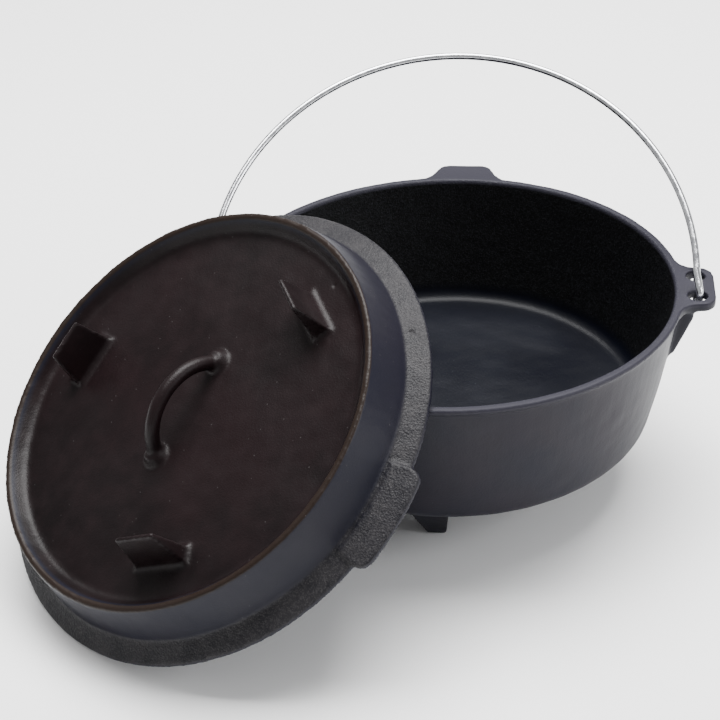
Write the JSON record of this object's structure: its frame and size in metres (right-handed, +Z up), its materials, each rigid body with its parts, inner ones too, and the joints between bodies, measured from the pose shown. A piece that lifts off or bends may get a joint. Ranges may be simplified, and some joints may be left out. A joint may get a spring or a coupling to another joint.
{
  "type": "cast iron dutch oven",
  "caption": "Cast-iron camp dutch oven on short legs, with a wire bail in its ears and a flanged, legged lid with a loop handle leaning beside it.",
  "frame": {"origin": "on the ground, under the vertical axis of the pot", "axes": "+X through the right ear, +Y to the rear tab of the rim, +Z up along the pot's axis"},
  "size_m": [0.4564, 0.4225, 0.2429],
  "materials": {
    "cast_iron_pot": "oil-seasoned, satin, with a fine cast grain",
    "cast_iron_lid": "oil-seasoned, satin, with a rougher cast grain on the flange",
    "plated_wire": "bright zinc-plated steel wire"
  },
  "bodies": {
    "pot": {"pot_casting": "cast_iron_pot"},
    "lid": {"lid_casting": "cast_iron_lid"},
    "bail": {"wire_bail": "plated_wire"}
  },
  "joints": [
    {"name": "lid_slide", "type": "slide", "parent": "pot", "child": "lid", "axis": [-0.4177, -0.4336, 0.7984], "range_m": [0, 0.25]},
    {"name": "bail_swing", "type": "hinge", "parent": "pot", "child": "bail", "pos_m": [0, 0, 0.13825], "axis": [1, 0, 0], "range_deg": [0, 104.6]}
  ],
  "couplings": [
    {"joint": "bail_swing", "follows": "lid_slide", "rad_per_m": 7.3}
  ]
}
